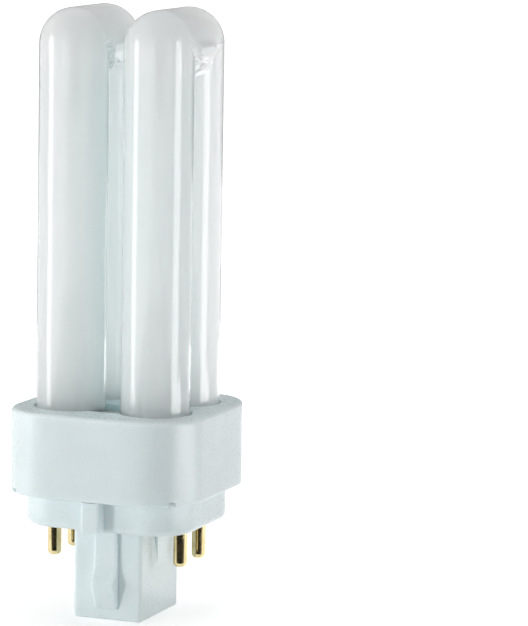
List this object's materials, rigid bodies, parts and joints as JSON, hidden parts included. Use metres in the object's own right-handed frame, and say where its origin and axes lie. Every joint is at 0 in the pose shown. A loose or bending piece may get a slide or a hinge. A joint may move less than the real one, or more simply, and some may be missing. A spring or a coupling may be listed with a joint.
{
  "type": "compact fluorescent bulb",
  "caption": "Plug-in compact fluorescent lamp: white U-shaped glass tubes in a rounded-square moulded collar, closed by a cap with a keyed latch post and contact pins.",
  "frame": {"origin": "centre of the four contact pins, on the cap's underside that seats on a holder", "axes": "+Z along the lamp towards the tubes' crowns, the post and the pins point to -Z; X across the post from pin pair to pin pair; Y front to back, along each U"},
  "size_m": [0.0338, 0.0338, 0.1021],
  "materials": {
    "coated_glass": "gloss outside, opaque white coating inside",
    "white_plastic": "satin, fine moulded texture",
    "pin_brass": "polished",
    "cement": "matte",
    "wire_nickel": "drawn wire"
  },
  "bodies": {
    "root": {"glass_tubes": "coated_glass", "tube_collar": "white_plastic", "cap_base": "white_plastic", "contact_pin_1": "pin_brass", "contact_pin_2": "pin_brass", "contact_pin_3": "pin_brass", "contact_pin_4": "pin_brass", "tube_cement": "cement", "lead_wire_1": "wire_nickel", "lead_wire_2": "wire_nickel", "lead_wire_3": "wire_nickel", "lead_wire_4": "wire_nickel"}
  },
  "joints": []
}
